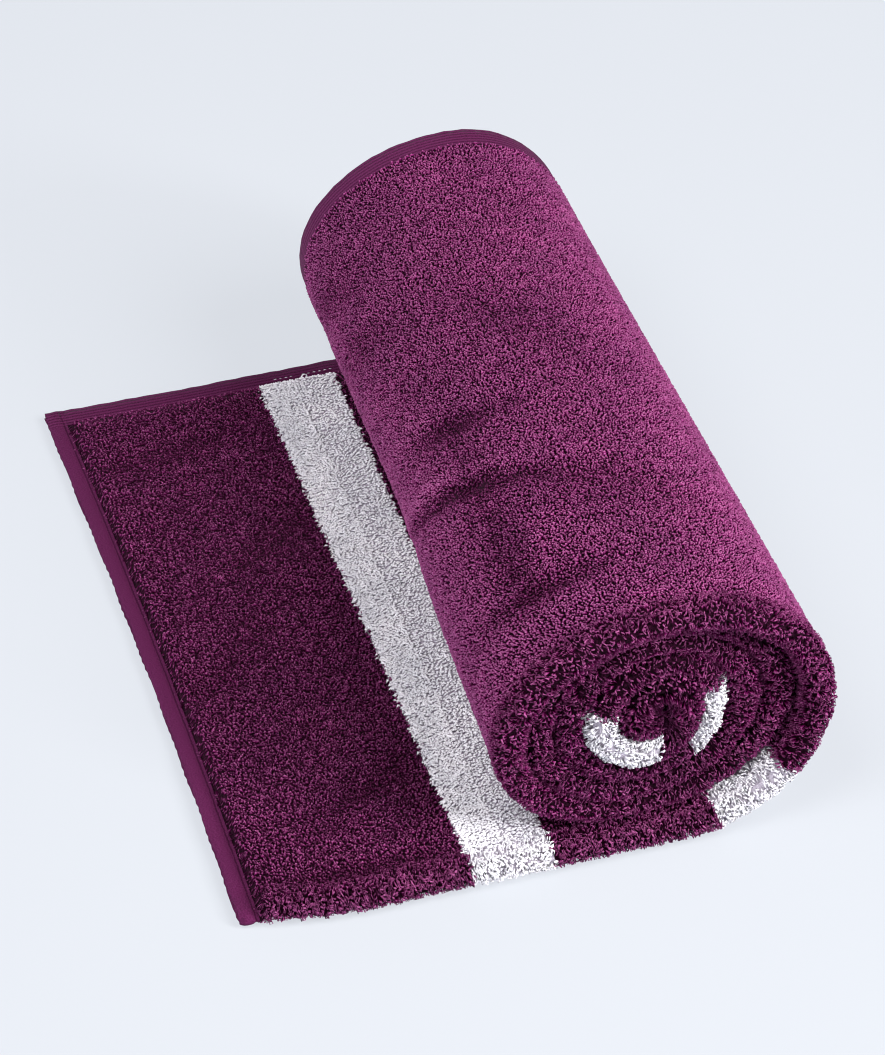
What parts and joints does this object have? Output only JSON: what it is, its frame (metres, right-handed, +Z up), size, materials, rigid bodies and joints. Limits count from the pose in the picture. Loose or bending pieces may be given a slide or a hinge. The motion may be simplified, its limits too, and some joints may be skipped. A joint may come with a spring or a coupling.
{
  "type": "rolled bath towel",
  "caption": "Terry bath towel folded in half lengthwise and rolled from one end, with a flat tail; cross stripes near both ends.",
  "frame": {"origin": "centre of the bounding box on the plane the towel lies on", "axes": "+Z up; +X from the free hem of the flat tail to the roll; +Y along the roll, from the folded edge to the selvedges"},
  "size_m": [0.2532, 0.354, 0.126],
  "materials": {
    "plum_terry": "looped cotton pile",
    "cream_terry": "looped cotton pile"
  },
  "bodies": {
    "root": {"towel": "plum_terry"}
  },
  "joints": []
}
